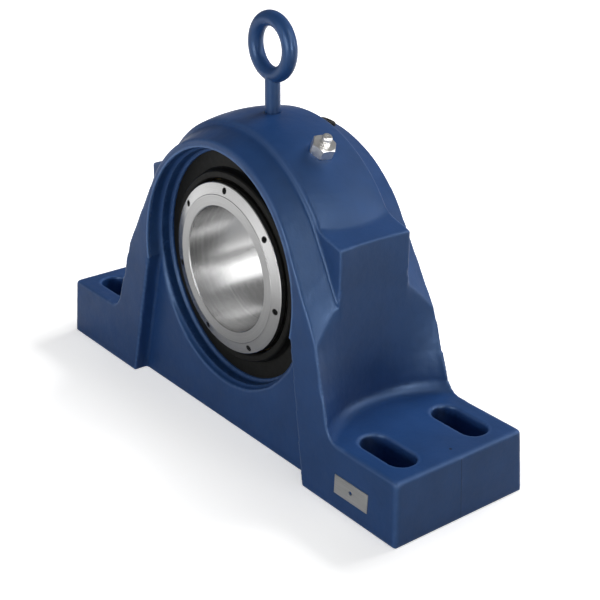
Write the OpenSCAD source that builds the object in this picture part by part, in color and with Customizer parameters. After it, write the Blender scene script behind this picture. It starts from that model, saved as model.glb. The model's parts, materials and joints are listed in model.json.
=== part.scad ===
// Pillow block: a one-piece cast housing with a self-aligning roller bearing,
// a slotted clamping sleeve and a screw-operated mounting ring.
// X runs along the base, Y along the shaft (front is -Y), Z is up.
// The origin is on the mounting surface, below the middle of the bearing.

/* [Base] */
// Length of the base at the mounting surface
base_length = 443; // [436:1:450]
// Width of the base at the mounting surface
base_width = 126.5; // [125:0.5:130]
// Height of the bolting pads
pad_height = 50.5; // [48:0.5:53]
// Draft of the front and rear faces in degrees
side_draft = 2.7; // [2.4:0.1:3]
// Draft of the end faces in degrees
end_draft = 3.2; // [2:0.1:4]
// Corner radius of the base
corner_radius = 3; // [2:0.5:5]
// Depth of the recessed middle of the front and rear faces
recess_depth = 12.5; // [11:0.5:13]

/* [Bolt slots] */
// Distance from a slot's centre to the end of the base
slot_end_margin = 41; // [40:0.5:43]
// Distance between slot centres across the base
slot_spacing_y = 70; // [68:1:72]
// Length of a slot from end to end
slot_length = 50; // [46:1:52]
// Width of a slot
slot_width = 23; // [20:0.5:24]

/* [Housing] */
// Height of the shaft centre above the mounting surface
shaft_height = 131; // [129:0.5:134]
// Crown radius of the domed middle block
dome_radius = 118; // [117:0.5:120]
// Width of the domed middle block along the shaft
block_width = 66; // [64:1:70]
// Radius of the walls where they meet the middle block
wall_radius = 110; // [109:0.5:111]
// Radius of the walls at the base's front and rear planes
rim_radius = 98.6; // [98.4:0.1:100]
// Lean of the walls' straight sides from the vertical in degrees
leg_lean = 30; // [29:0.5:31]
// Height of the shoulder corners of the middle block
shoulder_height = 182; // [180:1:186]
// Half distance between the hollowed end walls
wall_gap = 120.6; // [119.5:0.1:121.5]
// Radius of the front and rear openings
opening_radius = 96.5; // [96:0.1:97]

/* [Bearing] */
// Radius of the bearing seat in the housing
seat_radius = 90; // [89.8:0.1:90.5]
// Width of the bearing
bearing_width = 46; // [46:0.5:47]
// Radius of the spherical raceway of the outer ring
sphere_radius = 83; // [82.9:0.1:83.2]
// Contact angle of the rollers in degrees
contact_angle = 9.5; // [9.4:0.1:9.6]
// Largest diameter of a barrel roller
roller_diameter = 20; // [19.8:0.1:20]
// Length of a barrel roller
roller_length = 17.5; // [17.2:0.1:17.5]
// Play between a roller and each raceway
roller_play = 0.08; // [0.05:0.01:0.1]

/* [Sleeve and mounting ring] */
// Radius of the shaft bore
bore_radius = 50; // [49.5:0.1:50.5]
// Outer radius of the sleeve between its ramps
sleeve_radius = 55.8; // [55.6:0.1:56]
// Distance of the sleeve's front face from the bearing's middle
sleeve_front = 47; // [46:0.5:48]
// Distance of the sleeve's rear face from the bearing's middle
sleeve_rear = 40; // [38:1:42]
// Outer radius of the mounting ring
ring_radius = 68.6; // [68.2:0.1:68.8]
// Radius of the circle of the clamping screws
screw_circle = 63.9; // [63.6:0.1:64.2]
// Radius of a clamping screw
screw_radius = 2.6; // [2.4:0.1:2.8]

/* [Lifting eye] */
// Height of the middle of the eye
eye_height = 298.7; // [296:0.5:302]
// Mean radius of the eye
eye_radius = 21; // [20:0.5:22]
// Radius of the eye's rod and shank
eye_rod = 6; // [5.5:0.1:6.2]

/* [Grease fitting] */
// Angle of the grease fitting above the horizontal in degrees
fitting_angle = 60; // [58:1:62]
// Width across the flats of the adapter
hex_flats = 17; // [16:0.5:18]

/* [Plate and plug] */
// Length of the plate on the front face
plate_length = 36; // [34:0.5:38]
// Height of the plate on the front face
plate_height = 15; // [14:0.5:16]
// Thickness of the plate
plate_thickness = 0.8; // [0.6:0.1:1]
// Angle of the blanking plug above the horizontal in degrees
plug_angle = 81; // [79:1:83]
// Radius of the blanking plug's head
plug_radius = 6.5; // [6:0.1:7]

/* [Hidden] */
$fn = 96;

roller_count = 18;
screw_count = 7;
first_screw_angle = 90.5;
half_length = base_length / 2;
slot_spacing_x = base_length - 2 * slot_end_margin;
half_width = base_width / 2;
side_slope = tan(side_draft);
end_slope = tan(end_draft);
half_block = block_width / 2;
side_reach = half_width + 1;
tall = dome_radius + shaft_height + 20;
// Fillet where the end walls meet the pads: at the middle and its growth outwards
foot_fillet = 8.4;
foot_growth = 3.4;
groove_outer = seat_radius + 3;
ring_half = bearing_width / 2;
seal_seat = seat_radius + 1.5;
seal_back = 31;
seal_front_face = 34;
land_radius = 64.5;
row_radius = sphere_radius - roller_play - roller_diameter / 2;
barrel_radius = sphere_radius - 3;
race_radius = sphere_radius + 1;
half_roller = roller_length / 2;
cone_front_drop = 2.2;
hex_base = dome_radius - 0.9;
nipple_base = hex_base + 8.5;
plug_offset = 40;
wall_taper = (wall_radius - rim_radius) / (side_reach - half_block);
// Crown of the dome: its radius in the plane of the shaft
crown_arc = 142;

// Puts a part that is modelled along +Z onto the shaft's axis, with its +Z to the front
module on_shaft() {
    translate([0, 0, shaft_height]) rotate([90, 0, 0]) children();
}

// Puts a part that is modelled along +Z onto a radius of the dome
module on_radius(angle, offset = 0) {
    translate([0, offset, shaft_height]) rotate([0, 90 - angle, 0]) children();
}

// Revolves a profile of [radius, distance towards the front] points round the shaft
module turned(profile) {
    on_shaft() rotate_extrude() polygon(profile);
}

// Mirrors a profile to the other side of the bearing's middle
function to_rear(profile) = [for (p = profile) [p[0], -p[1]]];

// Plan of the base at one height, with rounded corners
module base_plan(z, inset = 0) {
    l = half_length - z * end_slope - inset;
    w = half_width - z * side_slope - inset;
    r = corner_radius;
    translate([0, 0, z]) linear_extrude(0.01) union() {
        square([2 * (l - r), 2 * w], center = true);
        square([2 * l, 2 * (w - r)], center = true);
        for (x = [-1, 1], y = [-1, 1])
            translate([x * (l - r), y * (w - r)]) circle(r, $fn = 24);
    }
}

// Base with drafted faces and a rounded top edge
module base_body() {
    hull() {
        base_plan(0);
        base_plan(pad_height - 2.01);
        base_plan(pad_height - 0.61, 0.6);
        base_plan(pad_height - 0.01, 2);
    }
}

// Space between the drafted front and rear faces, drawn back by an inset
module between_faces(inset = 0) {
    b = half_width - inset;
    t = half_width - tall * side_slope - inset;
    rotate([90, 0, 90]) linear_extrude(2 * half_length + 20, center = true)
        polygon([[-b, 0], [b, 0], [t, tall], [-t, tall]]);
}

// Outline of the two straight sides that run from the round top to the base
function leg_outline(radius) =
    let (r = radius - 0.15,
         xt = r * cos(leg_lean), zt = shaft_height + r * sin(leg_lean),
         xb = (r + shaft_height * sin(leg_lean)) / cos(leg_lean))
    [[-xb, 0], [xb, 0], [xt, zt], [-xt, zt]];

module leg_slab(r, y) {
    translate([0, y, 0]) rotate([90, 0, 0]) linear_extrude(0.01, center = true)
        polygon(leg_outline(r));
}

// Front and rear walls: round tops that taper to the faces and straight spread sides
module walls() {
    intersection() {
        union() {
            turned([[0, -side_reach], [rim_radius, -side_reach], [wall_radius, -half_block],
                    [wall_radius, half_block], [rim_radius, side_reach], [0, side_reach]]);
            hull() {
                leg_slab(rim_radius, -side_reach);
                leg_slab(wall_radius, -half_block);
                leg_slab(wall_radius, half_block);
                leg_slab(rim_radius, side_reach);
            }
        }
        between_faces();
    }
}

function crown(y) = dome_radius - crown_arc + sqrt(crown_arc * crown_arc - y * y);

// Domed block between the walls, with a level shoulder at each end
module block() {
    edge = half_block - 2.5;
    steps = [for (i = [-8 : 8]) edge * i / 8];
    turned(concat(
        [[0, half_block], [0, -half_block], [crown(edge) - 2.6, -half_block],
         [crown(edge) - 0.8, -half_block + 0.8]],
        [for (y = steps) [crown(y), y]],
        [[crown(edge) - 0.8, half_block - 0.8], [crown(edge) - 2.6, half_block]]));
    s = shoulder_height;
    rotate([90, 0, 0]) for (m = [0, 1]) mirror([m, 0, 0])
        shoulder(s);
}

// Half of the middle block's outline: the level shoulder and the wall below it
module shoulder(s) {
    linear_extrude(block_width, center = true)
        polygon([[0, pad_height - 5], [0, s + 14], [88, s + 14], [94, s + 11.4], [98, s + 8.6],
                 [102, s + 6.4], [107, s + 4.7], [wall_gap + 1, s + 0.4], [wall_gap + 24, s - 6.6],
                 [wall_gap + 24, pad_height - 5]]);
}

// Radius of the hollowed end wall at a height: tight at the pad, nearly flat at the top
function hollow_radius(z) =
    let (h = z - pad_height)
    lookup(h, [[0, 93], [12, 93], [22, 104], [33, 128], [48, 168], [62, 283], [170, 560]]);

function foot(y, h) =
    let (r = foot_fillet + foot_growth * pow(y / half_width, 2))
    h >= r ? 0 : r - sqrt(max(0, r * r - (r - h) * (r - h)));

function hollow_x(y, z) =
    let (r = hollow_radius(z))
    wall_gap + r - sqrt(r * r - y * y) + foot(y, z - pad_height) + max(0, z - 150) * 0.03;

// Solid that hollows one end of the walls and the block above its pad
module hollow() {
    ys = [for (i = [-10 : 10]) i * (half_width + 4) / 10];
    zs = [for (h = [0, 0.5, 1.6, 3.6, 6.4, 9.5, 12, 22, 33, 48, 62, 100, 170]) pad_height + h];
    far = half_length + 10;
    n = len(ys) + 2;
    rows = [for (z = zs) concat([[far, ys[0], z]],
                                [for (y = ys) [hollow_x(y, z), y, z]],
                                [[far, ys[len(ys) - 1], z]])];
    pts = [for (row = rows) for (p = row) p];
    sides = [for (k = [0 : len(zs) - 2]) for (i = [0 : n - 1])
        let (a = k * n + i, b = k * n + (i + 1) % n, c = a + n, d = b + n)
        for (t = [[a, b, c], [b, d, c]]) t];
    caps = [[for (i = [0 : n - 1]) n - 1 - i], [for (i = [0 : n - 1]) (len(zs) - 1) * n + i]];
    polyhedron(points = pts, faces = concat(sides, caps), convexity = 6);
}

// Cut that sets back the middle of a face between the two legs
module face_recess() {
    top = shaft_height - 19;
    difference() {
        rotate([90, 0, 0]) linear_extrude(base_width + 10, center = true)
            polygon([[-117.5, -1], [117.5, -1], [95.8, top], [-95.8, top]]);
        between_faces(recess_depth);
        translate([-150, -half_width, -2]) cube([300, base_width, 2]);
    }
}

// Stepped hole for the bearing, its snap rings and the seals
module inner_hole() {
    half = [[opening_radius, tall / 3], [opening_radius, 45.6], [opening_radius - 2.2, 44.4],
            [opening_radius - 2.2, 37], [seal_seat + 0.6, 36], [seal_seat, 35.4],
            [seal_seat, seal_back], [seat_radius, seal_back], [seat_radius, ring_half + 3],
            [groove_outer, ring_half + 3], [groove_outer, ring_half], [seat_radius, ring_half]];
    n = len(half);
    turned(concat([[0, tall / 3]], half,
                  [for (i = [n - 1 : -1 : 0]) [half[i][0], -half[i][1]]],
                  [[0, -tall / 3]]));
}

module slot(x, y) {
    c = (slot_length - slot_width) / 2;
    translate([x, y, -1]) {
        for (s = [-1, 1])
            translate([s * c, 0, 0]) cylinder(h = pad_height + 2, r = slot_width / 2, $fn = 48);
        translate([-c, -slot_width / 2, 0]) cube([2 * c, slot_width, pad_height + 2]);
    }
}

module housing() {
    color([0.10, 0.20, 0.40]) difference() {
        union() {
            base_body();
            difference() {
                union() {
                    walls();
                    block();
                }
                hollow();
                mirror([1, 0, 0]) hollow();
            }
            // Raised parting line on the end faces
            rotate([90, 0, 0]) linear_extrude(0.8, center = true)
                polygon([[-half_length - 0.3, 0], [half_length + 0.3, 0],
                         [half_length + 0.3 - (pad_height - 2) * end_slope, pad_height - 2],
                         [-half_length - 0.3 + (pad_height - 2) * end_slope, pad_height - 2]]);
        }
        inner_hole();
        face_recess();
        for (x = [-1, 1], y = [-1, 1]) slot(x * slot_spacing_x / 2, y * slot_spacing_y / 2);
        // Centre mark for a dowel pin
        translate([half_length - 15, 1, pad_height - 1]) cylinder(h = 3, r = 1.1, $fn = 24);
        // Tapped hole for the lifting eye
        translate([0, 0, shaft_height + seat_radius + 6]) cylinder(h = 40, r = eye_rod, $fn = 48);
        // Spot face, tapped hole and oil way for the grease fitting
        on_radius(fitting_angle) {
            translate([0, 0, hex_base]) cylinder(h = 10, r = hex_flats / 2 + 2.5, $fn = 48);
            translate([0, 0, hex_base - 12]) cylinder(h = 20, r = 5, $fn = 48);
            translate([0, 0, seat_radius - 4]) cylinder(h = 20, r = 2.5, $fn = 32);
        }
        // Spot face and hole for the blanking plug
        plug_place() {
            cylinder(h = 8, r = plug_radius + 0.5, $fn = 48);
            translate([0, 0, -9]) cylinder(h = 12, r = 4.5, $fn = 32);
        }
        // Shallow seat for the plate
        plate_place() translate([0, 0, -0.4]) linear_extrude(2)
            square([plate_length, plate_height], center = true);
    }
}

// Lifting eye with its shank screwed into the crown
module eye_bolt() {
    shank_foot = shaft_height + seat_radius + 8;
    color([0.13, 0.23, 0.42]) {
        union() {
            translate([0, 0, eye_height]) rotate([90, 0, 0])
                rotate_extrude() translate([eye_radius, 0]) circle(eye_rod, $fn = 32);
            translate([0, 0, shank_foot])
                cylinder(h = eye_height - eye_radius - shank_foot, r = eye_rod, $fn = 48);
        }
    }
}

// Hexagonal adapter for the grease nipple
module grease_adapter() {
    color([0.78, 0.78, 0.76]) on_radius(fitting_angle) difference() {
        union() {
            translate([0, 0, hex_base - 11]) cylinder(h = 11, r = 5, $fn = 48);
            intersection() {
                translate([0, 0, hex_base]) rotate([0, 0, 20])
                    cylinder(h = 8.5, r = hex_flats / sqrt(3), $fn = 6);
                translate([0, 0, hex_base]) rotate_extrude()
                    polygon([[0, 0], [hex_flats / 2 + 0.4, 0], [hex_flats / 2 + 2, 1],
                             [hex_flats / 2 + 2, 7.3], [hex_flats / 2 - 0.2, 8.5], [0, 8.5]]);
            }
        }
        translate([0, 0, hex_base - 12]) cylinder(h = 30, r = 1.5, $fn = 32);
        translate([0, 0, nipple_base - 5]) cylinder(h = 10, r = 3, $fn = 32);
    }
}

// Ball-head grease nipple
module grease_nipple() {
    color([0.8, 0.8, 0.78]) on_radius(fitting_angle) translate([0, 0, nipple_base])
        rotate_extrude($fn = 48)
            polygon([[1.2, -5], [3, -5], [3, 0], [4.2, 0], [4.2, 1.2], [2.7, 2], [2.7, 3.2],
                     [3.9, 4.2], [3.9, 5.8], [3.4, 6.8], [2.6, 7.3], [0.8, 7.3], [0.8, 6.6],
                     [1.2, 6.2]]);
}

// Check ball that closes the nipple from inside
module nipple_ball() {
    color([0.6, 0.6, 0.6]) on_radius(fitting_angle)
        translate([0, 0, nipple_base + 5.8]) sphere(1.1, $fn = 32);
}

// Seat of the plug, square to the tapering rear wall
module plug_place() {
    on_radius(plug_angle, plug_offset)
        translate([0, 0, wall_radius - (plug_offset - half_block) * wall_taper])
            rotate([-atan(wall_taper), 0, 0]) translate([0, 0, -0.5]) children();
}

// Black plug in the unused tapped hole
module blanking_plug() {
    color([0.03, 0.03, 0.03]) plug_place() rotate_extrude($fn = 48)
        polygon([[0, -8], [4.5, -8], [4.5, 0], [plug_radius, 0], [plug_radius, 1.7],
                 [plug_radius - 0.8, 2.5], [2.2, 2.5], [2.2, 1], [0, 1]]);
}

// Middle of the plate on the drafted front face of the right pad
module plate_place() {
    z = 21;
    translate([half_length - 48.5, -half_width + z * side_slope, z])
        rotate([90 - side_draft, 0, 0]) children();
}

module nameplate() {
    color([0.55, 0.55, 0.53]) plate_place() translate([0, 0, -0.4]) difference() {
        linear_extrude(plate_thickness) square([plate_length, plate_height], center = true);
        translate([-0.4, 0, -1]) cylinder(h = 3, r = 1.5, $fn = 32);
    }
}

// Screw-operated ring that draws the sleeve into the bearing
module mounting_ring() {
    color([0.75, 0.75, 0.74]) difference() {
        turned([[59.6, sleeve_front - 0.3], [ring_radius - 0.5, sleeve_front - cone_front_drop],
                [ring_radius, sleeve_front - cone_front_drop - 0.5], [ring_radius, 27.8],
                [ring_radius - 0.8, 27], [57, 27], [57, sleeve_front - 4.1], [59.6, sleeve_front - 4.1]]);
        on_shaft() for (i = [0 : screw_count - 1])
            rotate([0, 0, first_screw_angle + i * 360 / screw_count]) translate([screw_circle, 0, 20])
                cylinder(h = 40, r = screw_radius, $fn = 32);
    }
}

// Seven socket screws that push on the inner ring
module grub_screws() {
    color([0.12, 0.12, 0.12]) on_shaft() for (i = [0 : screw_count - 1])
        rotate([0, 0, first_screw_angle + i * 360 / screw_count]) translate([screw_circle, 0, 0])
            difference() {
                union() {
                    translate([0, 0, ring_half + 2.5]) cylinder(h = 15.5, r = screw_radius, $fn = 32);
                    translate([0, 0, ring_half]) cylinder(h = 3, r = screw_radius - 0.7, $fn = 32);
                }
                translate([0, 0, ring_half + 15]) cylinder(h = 5, r = 1.45, $fn = 6);
            }
}

// Height of the ramps shared by the sleeve and the inner ring
function ramps(r, play) = [for (k = [0 : 2]) for (p = [[0, 1.2], [14, 0]])
    [r + p[1] + play, ring_half - 2 - k * 14.2 - p[0]]];

// Slotted sleeve that clamps the shaft
module sleeve() {
    color([0.7, 0.7, 0.7]) difference() {
        turned(concat(
            [[bore_radius + 0.8, sleeve_front], [59.2, sleeve_front], [59.5, sleeve_front - 0.3],
             [59.5, sleeve_front - 4], [sleeve_radius, sleeve_front - 4], [sleeve_radius, ring_half - 2]],
            ramps(sleeve_radius, 0),
            [[sleeve_radius, -ring_half], [sleeve_radius, -ring_half - 3.4],
             [sleeve_radius - 1.4, -ring_half - 3.4], [sleeve_radius - 1.4, -ring_half - 5.6],
             [sleeve_radius, -ring_half - 5.6],
             [sleeve_radius, -sleeve_rear + 0.6], [sleeve_radius - 0.6, -sleeve_rear],
             [bore_radius + 0.8, -sleeve_rear], [bore_radius, -sleeve_rear + 0.8],
             [bore_radius, sleeve_front - 0.8]]));
        // Slot from the rear end that stops short of the front face
        on_shaft() rotate([0, 0, -20])
            translate([bore_radius - 5, -1.5, -60]) cube([20, 3, 60 + sleeve_front - 9]);
    }
}

// Retaining ring at the rear end of the sleeve
module sleeve_snap_ring() {
    color([0.35, 0.35, 0.36]) difference() {
        turned([[sleeve_radius - 1.4, -ring_half - 3.5], [sleeve_radius + 3.6, -ring_half - 3.5],
                [sleeve_radius + 3.6, -ring_half - 5.5], [sleeve_radius - 1.4, -ring_half - 5.5]]);
        on_shaft() rotate([0, 0, -90]) translate([bore_radius, -4, -ring_half - 8]) cube([20, 8, 8]);
    }
}

// Point on the lower raceway of the front row, at a distance along the roller's axis
function race_point(s) =
    let (d = row_radius - roller_diameter / 2 - roller_play
             + race_radius - sqrt(race_radius * race_radius - s * s))
    [d * cos(contact_angle) - s * sin(contact_angle), d * sin(contact_angle) + s * cos(contact_angle)];

// Inner ring with two raceways, a middle land and ramps in its bore
module inner_ring() {
    front = concat([[land_radius, 1.3]],
                   [for (i = [-6 : 6]) race_point(i * (half_roller + 0.3) / 6)],
                   [[65.9, 20.5], [65.9, ring_half - 0.5], [65.4, ring_half]]);
    n = len(front);
    color([0.62, 0.62, 0.62]) turned(concat(
        front,
        [[sleeve_radius + 0.05, ring_half], [sleeve_radius + 0.05, ring_half - 2]],
        ramps(sleeve_radius, 0.05),
        [[sleeve_radius + 0.05, -ring_half]],
        [for (i = [n - 1 : -1 : 0]) [front[i][0], -front[i][1]]]));
}

// Outer ring with a spherical raceway, a grease groove and three grease holes
module outer_ring() {
    race = [for (i = [-14 : 14]) let (y = ring_half * i / 14)
        [sqrt(sphere_radius * sphere_radius - y * y), y]];
    color([0.62, 0.62, 0.62]) difference() {
        turned(concat(
            [[seat_radius - 1.2, -ring_half], [seat_radius, -ring_half + 1.2],
             [seat_radius, -3], [seat_radius - 1.5, -2], [seat_radius - 1.5, 2], [seat_radius, 3],
             [seat_radius, ring_half - 1.2], [seat_radius - 1.2, ring_half]],
            [for (i = [28 : -1 : 0]) race[i]]));
        on_shaft() for (i = [0 : 2]) rotate([0, 0, fitting_angle + i * 120]) rotate([0, 90, 0])
            translate([0, 0, 70]) cylinder(h = 30, r = 1.5, $fn = 24);
    }
}

// Floating ring that keeps the two rows apart
module guide_ring() {
    color([0.45, 0.45, 0.45])
        turned([[land_radius + 0.08, -1.2], [land_radius + 8, -2.5], [land_radius + 8, 2.5],
                [land_radius + 0.08, 1.2]]);
}

// Barrel roller along +Z
module barrel() {
    steps = [for (i = [-5 : 5]) (half_roller - 0.8) * i / 5];
    bulge = roller_diameter / 2 - barrel_radius;
    end = bulge + sqrt(pow(barrel_radius, 2) - pow(half_roller, 2)) - 0.8;
    rotate_extrude($fn = 48) polygon(concat(
        [[0, -half_roller], [end, -half_roller]],
        [for (z = steps) [bulge + sqrt(barrel_radius * barrel_radius - z * z), z]],
        [[end, half_roller], [0, half_roller]]));
}

// Seats a roller in its row: side is 1 at the front and -1 at the rear
module in_row(side, index) {
    on_shaft() rotate([0, 0, (index + (side < 0 ? 0.5 : 0)) * 360 / roller_count])
        translate([row_radius * cos(contact_angle), 0, side * row_radius * sin(contact_angle)])
            rotate([0, -side * contact_angle, 0]) children();
}

module roller_front(number) {
    color([0.7, 0.7, 0.7]) in_row(1, number - 1) barrel();
}

module roller_rear(number) {
    color([0.7, 0.7, 0.7]) in_row(-1, number - 1) barrel();
}

// Window cage: two rims joined by bars between the rollers
module cage(side) {
    profile = [[74.4, 0.7], [78.6, 0.7], [78.0, 4.4], [75.4, ring_half - 1.2],
               [75.4, ring_half + 0.9], [66.4, ring_half + 0.9], [66.4, ring_half - 0.6],
               [71.4, ring_half - 0.6], [71.6, ring_half - 3.6], [74.2, 4.2]];
    difference() {
        turned(side > 0 ? profile : to_rear(profile));
        for (i = [0 : roller_count - 1]) in_row(side, i)
            cylinder(h = roller_length + 0.5, r = roller_diameter / 2 + 0.25, center = true, $fn = 48);
    }
}

module cage_front() {
    color([0.72, 0.6, 0.35]) cage(1);
}

module cage_rear() {
    color([0.72, 0.6, 0.35]) cage(-1);
}

// Open snap ring with two lugs in the housing's groove
module snap_ring(side) {
    a = side > 0 ? ring_half + 0.05 : -ring_half - 2.95;
    edge = groove_outer - 0.05;
    on_shaft() difference() {
        union() {
            rotate_extrude() polygon([[85.5, a], [edge, a], [edge, a + 2.9], [85.5, a + 2.9]]);
            for (s = [-1, 1]) rotate([0, 0, -90 + s * 9])
                translate([84.5, 0, a]) cylinder(h = 2.9, r = 4, $fn = 32);
        }
        rotate([0, 0, -90]) translate([78, -8, a - 1]) cube([20, 16, 5]);
        for (s = [-1, 1]) rotate([0, 0, -90 + s * 9])
            translate([84.5, 0, a - 1]) cylinder(h = 5, r = 1.5, $fn = 24);
    }
}

module snap_ring_front() {
    color([0.3, 0.3, 0.31]) snap_ring(1);
}

module snap_ring_rear() {
    color([0.3, 0.3, 0.31]) snap_ring(-1);
}

// Front seal with a raised lip round the mounting ring
module seal_front() {
    lip = ring_radius + 1.8;
    color([0.06, 0.06, 0.055]) turned([
        [seal_seat, seal_back + 0.1], [seal_seat, seal_front_face], [78.6, seal_front_face],
        [77.6, 35.4], [76.6, 39.6], [75.6, 40.6], [lip + 1.2, 40.6], [lip, 39.4], [lip, 32.2],
        [lip + 1.2, seal_back + 0.1]]);
}

// Rear seal with its lip close to the sleeve
module seal_rear() {
    lip = sleeve_radius + 1.9;
    color([0.06, 0.06, 0.055]) turned(to_rear([
        [seal_seat, seal_back + 0.1], [seal_seat, seal_front_face], [68, seal_front_face], [66.6, 36.4],
        [65, 37], [lip + 1.2, 37], [lip, 36], [lip, 32.2], [lip + 1.2, seal_back + 0.1]]));
}

housing();
eye_bolt();
grease_adapter();
grease_nipple();
nipple_ball();
blanking_plug();
nameplate();
mounting_ring();
grub_screws();
sleeve();
sleeve_snap_ring();
inner_ring();
outer_ring();
guide_ring();
cage_front();
cage_rear();
snap_ring_front();
snap_ring_rear();
seal_front();
seal_rear();
roller_front(1);  // roller_front_01
roller_front(2);  // roller_front_02
roller_front(3);  // roller_front_03
roller_front(4);  // roller_front_04
roller_front(5);  // roller_front_05
roller_front(6);  // roller_front_06
roller_front(7);  // roller_front_07
roller_front(8);  // roller_front_08
roller_front(9);  // roller_front_09
roller_front(10);  // roller_front_10
roller_front(11);  // roller_front_11
roller_front(12);  // roller_front_12
roller_front(13);  // roller_front_13
roller_front(14);  // roller_front_14
roller_front(15);  // roller_front_15
roller_front(16);  // roller_front_16
roller_front(17);  // roller_front_17
roller_front(18);  // roller_front_18
roller_rear(1);  // roller_rear_01
roller_rear(2);  // roller_rear_02
roller_rear(3);  // roller_rear_03
roller_rear(4);  // roller_rear_04
roller_rear(5);  // roller_rear_05
roller_rear(6);  // roller_rear_06
roller_rear(7);  // roller_rear_07
roller_rear(8);  // roller_rear_08
roller_rear(9);  // roller_rear_09
roller_rear(10);  // roller_rear_10
roller_rear(11);  // roller_rear_11
roller_rear(12);  // roller_rear_12
roller_rear(13);  // roller_rear_13
roller_rear(14);  // roller_rear_14
roller_rear(15);  // roller_rear_15
roller_rear(16);  // roller_rear_16
roller_rear(17);  // roller_rear_17
roller_rear(18);  // roller_rear_18
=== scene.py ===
import json
import math

import bpy
import numpy as np
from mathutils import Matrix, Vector
from mathutils.bvhtree import BVHTree

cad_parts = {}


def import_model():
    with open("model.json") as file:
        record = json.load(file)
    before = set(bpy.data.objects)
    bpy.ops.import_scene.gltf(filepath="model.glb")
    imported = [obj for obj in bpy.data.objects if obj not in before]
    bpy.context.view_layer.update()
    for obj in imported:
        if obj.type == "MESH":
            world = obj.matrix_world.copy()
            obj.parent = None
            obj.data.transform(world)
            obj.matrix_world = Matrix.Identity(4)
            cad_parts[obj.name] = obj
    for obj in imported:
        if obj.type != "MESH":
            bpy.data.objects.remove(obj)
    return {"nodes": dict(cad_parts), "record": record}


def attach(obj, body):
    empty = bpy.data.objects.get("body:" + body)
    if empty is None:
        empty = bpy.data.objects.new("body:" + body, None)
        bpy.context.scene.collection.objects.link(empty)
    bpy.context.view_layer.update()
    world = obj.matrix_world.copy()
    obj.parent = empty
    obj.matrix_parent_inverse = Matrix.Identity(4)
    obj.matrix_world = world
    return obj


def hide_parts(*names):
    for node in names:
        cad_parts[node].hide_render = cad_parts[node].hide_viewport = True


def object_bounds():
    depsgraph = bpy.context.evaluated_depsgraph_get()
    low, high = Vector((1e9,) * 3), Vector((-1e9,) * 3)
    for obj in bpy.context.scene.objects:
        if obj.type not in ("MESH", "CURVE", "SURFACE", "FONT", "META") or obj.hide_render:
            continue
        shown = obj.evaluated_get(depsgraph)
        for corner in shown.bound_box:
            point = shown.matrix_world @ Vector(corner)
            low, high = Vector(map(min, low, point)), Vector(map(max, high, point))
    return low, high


# A one-piece pillow block. The frame gives the machined pieces, and this scene gives the
# painted casting its soft edges and every piece its finish. Lengths are in metres.

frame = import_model()
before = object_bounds()
nodes = frame["nodes"]

HALF_LENGTH, HALF_WIDTH = before[1][0], before[1][1]
SHAFT_HEIGHT = 0.131
# How far the front and rear faces lean in for each metre of height
FACE_SLOPE = 0.0472


def link_object(name, data):
    o = bpy.data.objects.new(name, data)
    bpy.context.scene.collection.objects.link(o)
    return o


def add_node(nt, kind, inputs=None, **options):
    """A new node with its options set, and its inputs given as values or as other sockets."""
    n = nt.nodes.new(kind)
    for key, value in options.items():
        setattr(n, key, value)
    for key, value in (inputs or {}).items():
        if isinstance(value, bpy.types.NodeSocket):
            nt.links.new(value, n.inputs[key])
        else:
            n.inputs[key].default_value = value
    return n


def shade(color, factor):
    return tuple(min(1, c * factor) for c in color)


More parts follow.
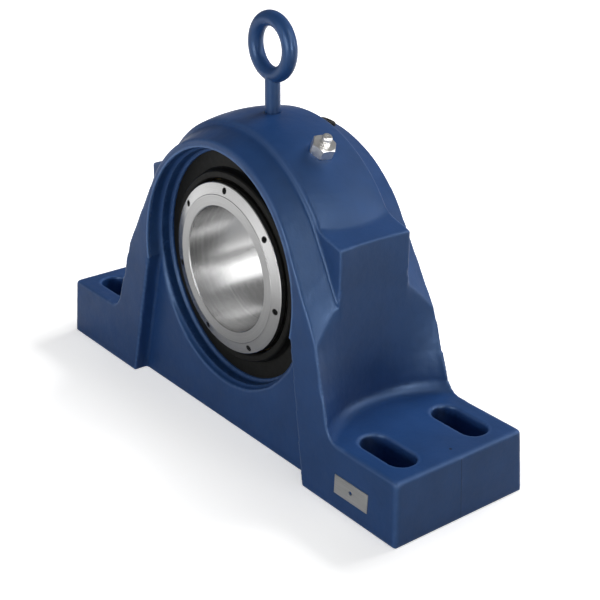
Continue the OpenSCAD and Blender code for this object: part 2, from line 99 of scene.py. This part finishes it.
class Mat:
    """A small builder for node materials around one Principled shader."""

    def __init__(self, name, color, rough, metal=0.0, spec=0.5):
        self.m = bpy.data.materials.new(name)
        self.m.use_nodes = True
        self.nt = self.m.node_tree
        self.bsdf = self.nt.nodes["Principled BSDF"]
        b = self.bsdf.inputs
        b["Base Color"].default_value = (*color, 1)
        b["Roughness"].default_value = rough
        b["Metallic"].default_value = metal
        b["Specular IOR Level"].default_value = spec
        self.place = self.node("ShaderNodeTexCoord").outputs["Object"]

    def node(self, kind, inputs=None, **options):
        return add_node(self.nt, kind, inputs, **options)

    def to(self, output, socket):
        self.nt.links.new(output, self.bsdf.inputs[socket])

    def xyz(self):
        """The three coordinates in the frame."""
        parts = self.node("ShaderNodeSeparateXYZ", {0: self.place})
        return tuple(parts.outputs[i] for i in range(3))

    def noise(self, scale, detail=3.0, rough=0.55, vector=None):
        return self.node("ShaderNodeTexNoise", {
            "Scale": scale, "Detail": detail, "Roughness": rough,
            "Vector": vector or self.place}).outputs["Fac"]

    def ramp(self, fac, stops):
        n = self.node("ShaderNodeValToRGB", {"Fac": fac})
        elements = n.color_ramp.elements
        while len(elements) < len(stops):
            elements.new(0.5)
        for element, (position, color) in zip(elements, stops):
            element.position = position
            element.color = (*color, 1)
        return n.outputs["Color"]

    def mix(self, fac, under, color):
        """Lays a colour over what is there."""
        return self.node("ShaderNodeMix", {0: fac, 6: under, 7: (*color, 1)}, data_type="RGBA").outputs[2]

    def spread(self, fac, low, high, start=0.3, end=0.7):
        """Maps the stretch from start to end to the range from low to high."""
        return self.node("ShaderNodeMapRange", {
            "Value": fac, "From Min": start, "From Max": end,
            "To Min": low, "To Max": high}).outputs["Result"]

    def math(self, operation, a, b=None):
        inputs = {0: a} if b is None else {0: a, 1: b}
        return self.node("ShaderNodeMath", inputs, operation=operation).outputs[0]

    def bump(self, height, distance, strength, under=None):
        inputs = {"Strength": strength, "Distance": distance, "Height": height}
        if under is not None:
            inputs["Normal"] = under
        return self.node("ShaderNodeBump", inputs).outputs["Normal"]

    def disc(self, u, v, middle, radius):
        """1 inside a circle in two of the coordinates, 0 outside it."""
        du, dv = self.math("SUBTRACT", u, middle[0]), self.math("SUBTRACT", v, middle[1])
        off = self.math("ADD", self.math("MULTIPLY", du, du), self.math("MULTIPLY", dv, dv))
        return self.math("LESS_THAN", off, radius ** 2)

    def round_shaft(self, scale):
        """Coordinates whose noise runs in circles round the shaft: radius and depth only."""
        x, y, z = self.xyz()
        z = self.math("SUBTRACT", z, SHAFT_HEIGHT)
        squares = self.math("ADD", self.math("MULTIPLY", x, x), self.math("MULTIPLY", z, z))
        return self.node("ShaderNodeCombineXYZ", {
            "X": self.math("MULTIPLY", self.math("SQRT", squares), scale),
            "Y": self.math("MULTIPLY", y, scale)}).outputs[0]


def painted_edge_highlight_and_corner_shade(k, tone_and_painted_light, color, edge_highlight):
    """Painted highlight in a lighter blue on the outer edges, and dark painted shade in the corners."""
    shape = k.node("ShaderNodeNewGeometry").outputs["Pointiness"]
    # Painted highlight: a lighter blue where the surface bends outwards
    tone_and_painted_light = k.mix(k.spread(shape, 0, 1, 0.505, 0.54), tone_and_painted_light, edge_highlight)
    # Painted shade: a dark blue where the surface bends inwards
    return k.mix(k.spread(shape, 0.55, 0, 0.44, 0.49), tone_and_painted_light, shade(color, 0.3))


def mould_marks_painted_shade(k, tone_and_painted_light, color):
    """The parting line of the mould on both ends, and the centre mark on the right pad, both painted
    darker as the shade in their groove and dimple.
    """
    line_half, end_depth = 0.0004, 0.003
    mark, mark_r, pad_level = (HALF_LENGTH - 0.0153, 0.001), 0.0011, 0.04
    x, y, z = k.xyz()
    seam_groove_shade = k.math("MULTIPLY", k.math("LESS_THAN", k.math("ABSOLUTE", y), line_half),
                  k.math("GREATER_THAN", k.math("ABSOLUTE", x), HALF_LENGTH - end_depth))
    # Painted shade along the parting line's groove
    tone_and_painted_light = k.mix(seam_groove_shade, tone_and_painted_light, shade(color, 0.6))
    dimple_shade = k.math("MULTIPLY", k.disc(x, y, mark, mark_r), k.math("GREATER_THAN", z, pad_level))
    # Painted shade, near black, in the centre mark's dimple
    return k.mix(dimple_shade, tone_and_painted_light, shade(color, 0.12))


def paint(name, color, rough, edge_highlight=None):
    """Satin enamel: slight unevenness in colour, gloss and surface; on a casting, painted highlights on
    its edges and painted shade in its corners and mould marks.
    """
    k = Mat(name, color, rough)
    k.bsdf.inputs["Specular Tint"].default_value = (0.47, 0.67, 1.0, 1)
    tone_and_painted_light = k.ramp(k.noise(28, 4), [(0.3, shade(color, 0.86)), (0.55, color), (0.75, shade(color, 1.12))])
    # On a casting: painted edge highlights, painted corner shade, and painted shade in the mould marks
    if edge_highlight:
        tone_and_painted_light = painted_edge_highlight_and_corner_shade(k, tone_and_painted_light, color, edge_highlight)
        tone_and_painted_light = mould_marks_painted_shade(k, tone_and_painted_light, color)
    k.to(tone_and_painted_light, "Base Color")
    k.to(k.spread(k.noise(60), rough - 0.05, rough + 0.07), "Roughness")
    coarse = k.bump(k.noise(150, 3, 0.5), 0.0006, 0.35)
    k.to(k.bump(k.noise(900, 2, 0.5), 0.00012, 0.35, coarse), "Normal")
    return k.m


def turned_steel(name, color, rough):
    """Turned metal: fine circular tool marks round the shaft's axis."""
    k = Mat(name, color, rough, metal=1.0)
    lines = k.noise(1, 2, 0.7, k.round_shaft(9000))
    bands = k.noise(1, 2, 0.5, k.round_shaft(900))
    k.to(k.ramp(bands, [(0.3, shade(color, 0.88)), (0.7, color)]), "Base Color")
    k.to(k.spread(lines, rough - 0.05, rough + 0.08), "Roughness")
    k.to(k.bump(lines, 0.00003, 0.5), "Normal")
    return k.m


def plain_steel(name, color, rough):
    """Ground or plated metal with a light clouding."""
    k = Mat(name, color, rough, metal=1.0)
    k.to(k.ramp(k.noise(100), [(0.3, shade(color, 0.85)), (0.7, color)]), "Base Color")
    k.to(k.spread(k.noise(400), rough - 0.05, rough + 0.08), "Roughness")
    k.to(k.bump(k.noise(1600, 2), 0.00004, 0.3), "Normal")
    return k.m


def rubber(name, color, rough):
    """Moulded rubber or plastic, nearly black and barely shiny."""
    k = Mat(name, color, rough, spec=0.15)
    k.to(k.ramp(k.noise(90), [(0.3, shade(color, 0.75)), (0.7, shade(color, 1.3))]), "Base Color")
    k.to(k.spread(k.noise(240), rough - 0.06, rough + 0.08), "Roughness")
    k.to(k.bump(k.noise(1400, 2), 0.00008, 0.3), "Normal")
    return k.m


def brushed_plate(name, color, rough):
    """Rolled sheet with fine marks along its length, and a painted shade disc over the rivet hole in its
    middle.
    """
    rivet_shade_r = 0.0014
    corners = [Vector(c) for c in nodes["nameplate"].bound_box]
    middle = sum(corners, Vector()) / len(corners)
    k = Mat(name, color, rough, metal=1.0)
    stretched = k.node("ShaderNodeMapping", {"Scale": (60, 600, 3500), "Vector": k.place})
    grain = k.noise(1, 3, 0.6, stretched.outputs["Vector"])
    sheet = k.ramp(grain, [(0.3, shade(color, 0.8)), (0.7, shade(color, 1.1))])
    x, _, z = k.xyz()
    # Painted shade: a near-black disc over the rivet hole
    k.to(k.mix(k.disc(x, z, (middle.x, middle.z), rivet_shade_r), sheet, shade(color, 0.08)), "Base Color")
    k.to(k.spread(grain, rough - 0.06, rough + 0.1), "Roughness")
    k.to(k.bump(grain, 0.00004, 0.4), "Normal")
    return k.m


def cast_paint(name, color, rough):
    """The same enamel on the casting, with painted highlights on its outer edges and painted shade in its
    corners.
    """
    # The lighter blue of the painted edge highlight
    return paint(name, color, rough, edge_highlight=(0.06, 0.13, 0.32))


M = {name: make(name, color, rough) for name, make, color, rough in (
    ("blue_casting", cast_paint, (0.0169, 0.063, 0.205), 0.40),
    # The lip's blue is lighter than the casting's: a painted highlight on the rounded lip
    ("blue_lip", paint, (0.08, 0.17, 0.40), 0.36),
    ("blue_steel", paint, (0.022, 0.073, 0.22), 0.33),
    ("plated_steel", plain_steel, (0.80, 0.79, 0.77), 0.33),
    ("bearing_steel", plain_steel, (0.52, 0.52, 0.52), 0.2),
    ("turned_steel", turned_steel, (0.56, 0.56, 0.56), 0.22),
    ("dark_steel", plain_steel, (0.08, 0.08, 0.085), 0.35),
    ("cage_brass", plain_steel, (0.62, 0.47, 0.20), 0.3),
    ("seal_rubber", rubber, (0.0055, 0.0055, 0.0045), 0.5),
    ("black_plastic", rubber, (0.012, 0.012, 0.012), 0.4),
    ("plate_steel", brushed_plate, (0.46, 0.46, 0.45), 0.42),
)}


def finish_nodes():
    """Gives each node of the frame the material of its slot."""
    slot_of = {s["node"]: s["material_slot"] for s in frame["record"]["subparts"]}
    for name, o in nodes.items():
        o.data.materials.clear()
        o.data.materials.append(M[slot_of[name]])


def keep_modified(o, kind, **settings):
    """Runs one modifier and keeps its result as the object's mesh."""
    modifier = o.modifiers.new(kind.lower(), kind)
    for key, value in settings.items():
        setattr(modifier, key, value)
    evaluated = o.evaluated_get(bpy.context.evaluated_depsgraph_get())
    mesh = bpy.data.meshes.new_from_object(evaluated)
    o.modifiers.clear()
    o.data = mesh
    return mesh


def read_vertices(mesh):
    flat = np.zeros(len(mesh.vertices) * 3)
    mesh.vertices.foreach_get("co", flat)
    return flat.reshape(-1, 3)


def read_edges(mesh):
    flat = np.zeros(len(mesh.edges) * 2, np.int64)
    mesh.edges.foreach_get("vertices", flat)
    return flat.reshape(-1, 2)


def relax(values, edges, amount):
    """Moves each vertex's value towards the mean of its neighbours, or away from it."""
    a, b = edges.T
    count = len(values)
    neighbours = np.bincount(edges.ravel(), minlength=count)[:, None]
    total = np.zeros_like(values)
    for axis in range(3):
        total[:, axis] = np.bincount(a, values[b, axis], count) + np.bincount(b, values[a, axis], count)
    return values + amount * (total / neighbours - values)


def soften(v, edges, back, rounds=6):
    """Rounds the edges, and steps back each time so that the walls keep their place."""
    for _ in range(rounds):
        v = relax(relax(v, edges, 0.6), edges, -back)
    return v


def fade(values, start, reach):
    """Grows from 0 at start to 1 after reach."""
    return np.clip((values - start) / reach, 0, 1)


def end_shift(v, edges, rounds=130, calming=7):
    """What evens out both hollowed ends from the pad up, along the height alone, so that the
    levels of the solid's loft don't show."""
    ends = fade(np.abs(v[:, 0]), 0.108, 0.006)
    above_foot, below_shoulder = fade(v[:, 2], 0.058, 0.008), fade(0.21 - v[:, 2], 0, 0.008)
    amount = ends * above_foot * below_shoulder
    a, b = edges[(amount[edges] > 0).all(axis=1)].T
    step = v[b] - v[a]
    upright = (step[:, 2] / np.linalg.norm(step, axis=1)) ** 2
    count = len(v)
    total = np.bincount(a, upright, count) + np.bincount(b, upright, count)
    share = 0.5 * amount / np.maximum(total, 1)
    even = v.copy()
    for _ in range(rounds):
        for axis in (0, 1):
            pull = upright * (even[b, axis] - even[a, axis])
            even[:, axis] += share * (np.bincount(a, pull, count) - np.bincount(b, pull, count))
    shift = even - v
    for _ in range(calming):
        shift = relax(shift, edges, 0.6)
    return shift


def restore_seats(v, source, seats_r=0.0955, blend=0.001):
    """Takes the machined seats and bands inside the openings back to the exact surface."""
    r = np.hypot(v[:, 0], v[:, 2] - SHAFT_HEIGHT)
    machined = np.clip((seats_r - r) / blend, 0, 1)
    exact = BVHTree.FromObject(source, bpy.context.evaluated_depsgraph_get())
    for i in np.flatnonzero(machined):
        near = exact.find_nearest(Vector(v[i]))[0]
        v[i] += machined[i] * (np.array(near) - v[i])


def cast_housing(voxel=0.0011, most_triangles=195000):
    """The housing with the soft edges and fillets of a sand casting, and crisp machined seats."""
    source = nodes["housing"]
    o = link_object("cast_housing", source.data.copy())
    mesh = keep_modified(o, "REMESH", mode="VOXEL", voxel_size=voxel, use_smooth_shade=True)
    v, edges = read_vertices(mesh), read_edges(mesh)
    v = soften(v, edges, back=0.35)
    v = v + end_shift(v, edges)
    v = soften(v, edges, back=0.5)
    restore_seats(v, source)
    mesh.vertices.foreach_set("co", v.ravel())
    mesh.update()
    triangles = sum(len(p.vertices) - 2 for p in mesh.polygons)
    mesh = keep_modified(o, "DECIMATE", ratio=min(1.0, most_triangles / triangles))
    mesh.polygons.foreach_set("use_smooth", [True] * len(mesh.polygons))
    mesh.materials.clear()
    mesh.materials.append(M["blue_casting"])
    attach(o, "housing_group")
    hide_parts("housing")


def lip_profile(inner, outer, buried=0.003, arc_steps=6):
    """Radius and depth under the face, from the opening's wall over the lip and down again."""
    round_r, outer_turn, outer_start, foot = 0.0008, math.radians(70), 0.0006, 0.0009
    profile = [(inner, buried)]
    for i in range(arc_steps + 1):
        a = math.pi / 2 * i / arc_steps
        profile.append((inner + round_r - round_r * math.cos(a), round_r - round_r * math.sin(a)))
    for i in range(arc_steps + 1):
        a = outer_turn * i / arc_steps
        profile.append((outer - outer_start + round_r * math.sin(a), round_r - round_r * math.cos(a)))
    profile.append((outer + foot, buried))
    return profile


def opening_lip(name, side, inner=0.0965, outer=0.0986, steps=320):
    """The rounded lip round an opening, where the drafted face stands behind it, in a lighter blue that
    paints its highlight.
    """
    proud, near_face = 0.00004, 0.0004
    profile = lip_profile(inner, outer)
    casting = BVHTree.FromObject(nodes["housing"], bpy.context.evaluated_depsgraph_get())

    def point(turn, r, depth):
        z = SHAFT_HEIGHT + r * math.sin(turn)
        y = HALF_WIDTH - FACE_SLOPE * z + proud - depth
        return r * math.cos(turn), side * y, z

    verts, on_face = [], []
    for k in range(steps):
        turn = 2 * math.pi * k / steps
        verts += [point(turn, r, depth) for r, depth in profile]
        on_face.append(casting.find_nearest(point(turn, (inner + outer) / 2, 0))[3] < near_face)

    faces = []
    n = len(profile)
    for k in range(steps):
        after = (k + 1) % steps
        if not (on_face[k] and on_face[after]):
            continue
        for i in range(n):
            j = (i + 1) % n
            quad = (k * n + i, k * n + j, after * n + j, after * n + i)
            faces.append(quad if side > 0 else quad[::-1])

    mesh = bpy.data.meshes.new("lip")
    mesh.from_pydata(verts, [], faces)
    mesh.polygons.foreach_set("use_smooth", [True] * len(faces))
    # A lighter blue for a painted highlight along the lip
    mesh.materials.append(M["blue_lip"])
    o = link_object(name, mesh)
    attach(o, "housing_group")


def distance_from_base(nt):
    """Distance from the rectangle that the piece stands on."""
    flow = add_node(nt, "ShaderNodeNewGeometry").outputs["Position"]
    for operation, value in (("ABSOLUTE", None), ("SUBTRACT", (HALF_LENGTH, HALF_WIDTH, 0)),
                             ("MAXIMUM", (0, 0, 0)), ("LENGTH", None)):
        inputs = {0: flow} if value is None else {0: flow, 1: value}
        step = add_node(nt, "ShaderNodeVectorMath", inputs, operation=operation)
        flow = step.outputs["Value" if operation == "LENGTH" else "Vector"]
    return flow


def floor_glow_with_painted_shadow(nt):
    """White added on the floor for the camera and for reflections, less of it near the piece, so that a
    soft shadow is painted round the base.
    """
    path = add_node(nt, "ShaderNodeLightPath")
    away = distance_from_base(nt)

    def seen_by(ray, start, end, near):
        glow = add_node(nt, "ShaderNodeMapRange", {
            "Value": away, "From Min": start, "From Max": end, "To Min": near, "To Max": 1.0},
            interpolation_type="SMOOTHSTEP")
        return add_node(nt, "ShaderNodeMath", {0: path.outputs[ray], 1: glow.outputs["Result"]},
                        operation="MULTIPLY").outputs[0]

    # Less glow near the base: a painted shadow on the floor, seen by the camera and in reflections
    strength = add_node(nt, "ShaderNodeMath", {
        0: seen_by("Is Camera Ray", start=0.0, end=0.17, near=0.55),
        1: seen_by("Is Glossy Ray", start=0.05, end=0.7, near=0.05)}, operation="MAXIMUM")
    return add_node(nt, "ShaderNodeEmission", {
        "Color": (1, 1, 1, 1), "Strength": strength.outputs[0]}).outputs[0]


def floor(half=6.0):
    mesh = bpy.data.meshes.new("floor")
    mesh.from_pydata([(-half, -half, 0), (half, -half, 0), (half, half, 0), (-half, half, 0)],
                     [], [(0, 1, 2, 3)])
    o = link_object("floor", mesh)
    m = bpy.data.materials.new("floor_white")
    m.use_nodes = True
    nt = m.node_tree
    b = nt.nodes["Principled BSDF"]
    b.inputs["Base Color"].default_value = (0.8, 0.8, 0.8, 1)
    b.inputs["Roughness"].default_value = 0.9
    b.inputs["Specular IOR Level"].default_value = 0.0
    both = add_node(nt, "ShaderNodeAddShader", {0: b.outputs[0], 1: floor_glow_with_painted_shadow(nt)})
    nt.links.new(both.outputs[0], nt.nodes["Material Output"].inputs["Surface"])
    mesh.materials.append(m)


def world(room=0.02, room_in_gloss=0.19):
    """White to the camera, a dim grey room in reflections, and next to no light of its own."""
    w = bpy.data.worlds.new("studio")
    bpy.context.scene.world = w
    w.use_nodes = True
    nt = w.node_tree
    path = add_node(nt, "ShaderNodeLightPath").outputs
    dim = add_node(nt, "ShaderNodeMath", {0: path["Is Glossy Ray"], 1: room_in_gloss, 2: room},
                   operation="MULTIPLY_ADD")
    white = add_node(nt, "ShaderNodeMath", {0: path["Is Camera Ray"], 1: path["Is Transmission Ray"]},
                     operation="MAXIMUM")
    strength = add_node(nt, "ShaderNodeMath", {0: white.outputs[0], 1: dim.outputs[0]},
                        operation="MAXIMUM")
    background = nt.nodes["Background"].inputs
    background["Color"].default_value = (1, 1, 1, 1)
    nt.links.new(strength.outputs[0], background["Strength"])


def softbox(name, place, size, power, seen):
    """A lamp that either lights the piece or is seen in its reflections."""
    aim = Vector((0, 0, 0.12))
    d = bpy.data.lights.new(name, "AREA")
    d.shape = "RECTANGLE"
    d.size, d.size_y = size
    d.energy = power
    o = link_object(name, d)
    o.location = place
    o.rotation_euler = (aim - Vector(place)).to_track_quat("-Z", "Y").to_euler()
    o.visible_glossy = seen
    o.visible_diffuse = not seen


def lamps():
    """Soft light from above, behind and in front, with larger panels in the reflections."""
    front, front_size = (0.6, -2.0, 0.5), (0.7, 0.5)
    left, left_size = (-0.5, -2.0, 0.7), (1.0, 1.0)
    back, back_size = (0.0, 1.7, 1.5), (1.2, 0.7)
    for name, place, size, power in (
            ("top", (0.4, 0.0, 1.75), (0.7, 0.7), 6),
            ("back", back, back_size, 34),
            ("front", front, front_size, 11),
            ("front_left", left, left_size, 2.3)):
        softbox(name, place, size, power, seen=False)
    for name, place, size, power in (
            ("front_seen", front, front_size, 29),
            ("front_left_seen", left, left_size, 12),
            ("right_strip", (1.9, -0.15, 0.5), (0.25, 0.8), 18),
            ("right_high", (1.5, 0.2, 1.5), (0.8, 0.8), 12),
            ("right_back", (1.25, 1.2, 1.2), (1.4, 0.9), 8.6),
            ("right_back_low", (1.4, 1.7, 0.6), (0.9, 0.6), 9.2),
            ("back_seen", back, back_size, 8)):
        softbox(name, place, size, power, seen=True)


def camera():
    """The photograph's viewpoint: a long lens from the front right, a little above."""
    azimuth, elevation, roll = math.radians(51.84), math.radians(24.45), math.radians(-0.26)
    target, distance = Vector((-0.02617, 0.04759, 0.06943)), 1.1272
    d = bpy.data.cameras.new("camera")
    d.sensor_width = 36.0
    d.sensor_fit = "HORIZONTAL"
    d.lens = 79.85
    d.clip_end = 50
    o = link_object("camera", d)
    back = Vector((math.sin(azimuth) * math.cos(elevation),
                   -math.cos(azimuth) * math.cos(elevation), math.sin(elevation)))
    o.location = target + back * distance
    o.rotation_euler = back.to_track_quat("Z", "Y").to_euler()
    o.rotation_euler.rotate_axis("Z", -roll)
    bpy.context.scene.camera = o


finish_nodes()
# The lips are fitted to the exact housing, so they come before the casting replaces it
opening_lip("lip_front", side=-1)
opening_lip("lip_rear", side=1)
cast_housing()
floor()
world()
lamps()
camera()
bpy.context.scene.view_settings.view_transform = "Standard"
